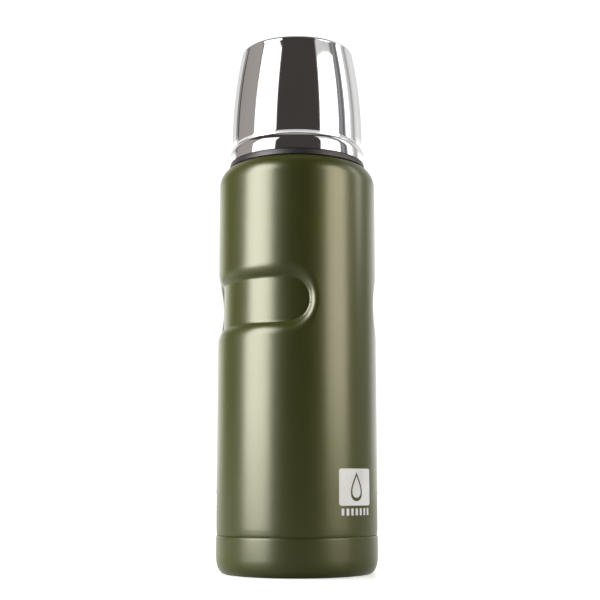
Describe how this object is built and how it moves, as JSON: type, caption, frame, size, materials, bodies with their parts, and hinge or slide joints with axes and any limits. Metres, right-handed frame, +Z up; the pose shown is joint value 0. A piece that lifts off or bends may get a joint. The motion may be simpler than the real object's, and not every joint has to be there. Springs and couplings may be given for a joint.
{
  "type": "vacuum flask",
  "caption": "Double-walled steel vacuum flask with grip recesses pressed into its painted body, a screw-on steel drinking cup, and a screw stopper whose push button opens a pouring valve.",
  "frame": {"origin": "centre of the foot ring's underside, on the surface it stands on", "axes": "+Z up along the flask's axis, -Y towards the front that carries the badge, -X and +X towards the middles of the two grip recesses"},
  "size_m": [0.072, 0.072, 0.24],
  "materials": {
    "olive_paint": "satin powder coat",
    "bare_steel": "bare stainless steel, lightly brushed",
    "polished_steel": "mirror-polished stainless steel",
    "braze": "brazed bead, as melted",
    "getter_alloy": "sintered powder",
    "foil": "bright rolled foil",
    "dark_plastic": "fine-textured moulded polypropylene",
    "ring_plastic": "satin moulded plastic",
    "button_plastic": "smooth moulded plastic",
    "white_plastic": "natural moulded acetal",
    "silicone": "matt silicone rubber",
    "spring_steel": "drawn stainless wire"
  },
  "bodies": {
    "flask": {"outer_shell": "olive_paint", "outer_base": "olive_paint", "base_disc": "bare_steel", "vacuum_seal": "braze", "getter_cup": "bare_steel", "getter_pellet": "getter_alloy", "inner_vessel": "bare_steel", "inner_bottom": "bare_steel", "radiation_foil": "foil", "neck_sleeve": "bare_steel"},
    "stopper_seal": {"stopper_gasket": "silicone"},
    "stopper": {"stopper_body": "dark_plastic", "lip_gasket": "silicone", "top_cap": "dark_plastic", "valve_cage": "white_plastic", "button_spring": "spring_steel"},
    "button": {"button": "button_plastic", "valve_stem": "white_plastic", "valve_plate": "white_plastic", "valve_seal": "silicone", "stem_clip": "spring_steel"},
    "rotor": {"latch_rotor": "white_plastic"},
    "ring": {"rim_ring": "ring_plastic"},
    "cup": {"cup_shell": "polished_steel", "cup_liner": "dark_plastic"}
  },
  "joints": [
    {"name": "stopper_lift", "type": "slide", "parent": "flask", "child": "stopper_seal", "axis": [0, 0, 1], "range_m": [0, 0.05]},
    {"name": "stopper_turn", "type": "hinge", "parent": "stopper_seal", "child": "stopper", "pos_m": [0, 0, 0.19], "axis": [0, 0, 1], "range_deg": [0, 480]},
    {"name": "button_press", "type": "slide", "parent": "stopper", "child": "button", "axis": [0, 0, -1], "range_m": [0, 0.004], "stiffness_N_per_m": 1500, "springref_m": -0.002, "deforming": ["button_spring"]},
    {"name": "rotor_turn", "type": "hinge", "parent": "button", "child": "rotor", "pos_m": [0, 0, 0.2065], "axis": [0, 0, 1], "range_deg": [0, 45]},
    {"name": "cup_lift", "type": "slide", "parent": "stopper_seal", "child": "ring", "axis": [0, 0, 1], "range_m": [0, 0.06]},
    {"name": "cup_turn", "type": "hinge", "parent": "ring", "child": "cup", "pos_m": [0, 0, 0.2], "axis": [0, 0, 1], "range_deg": [0, 540]}
  ],
  "couplings": [
    {"joint": "rotor_turn", "follows": "button_press", "rad_per_m": 196.34}
  ]
}
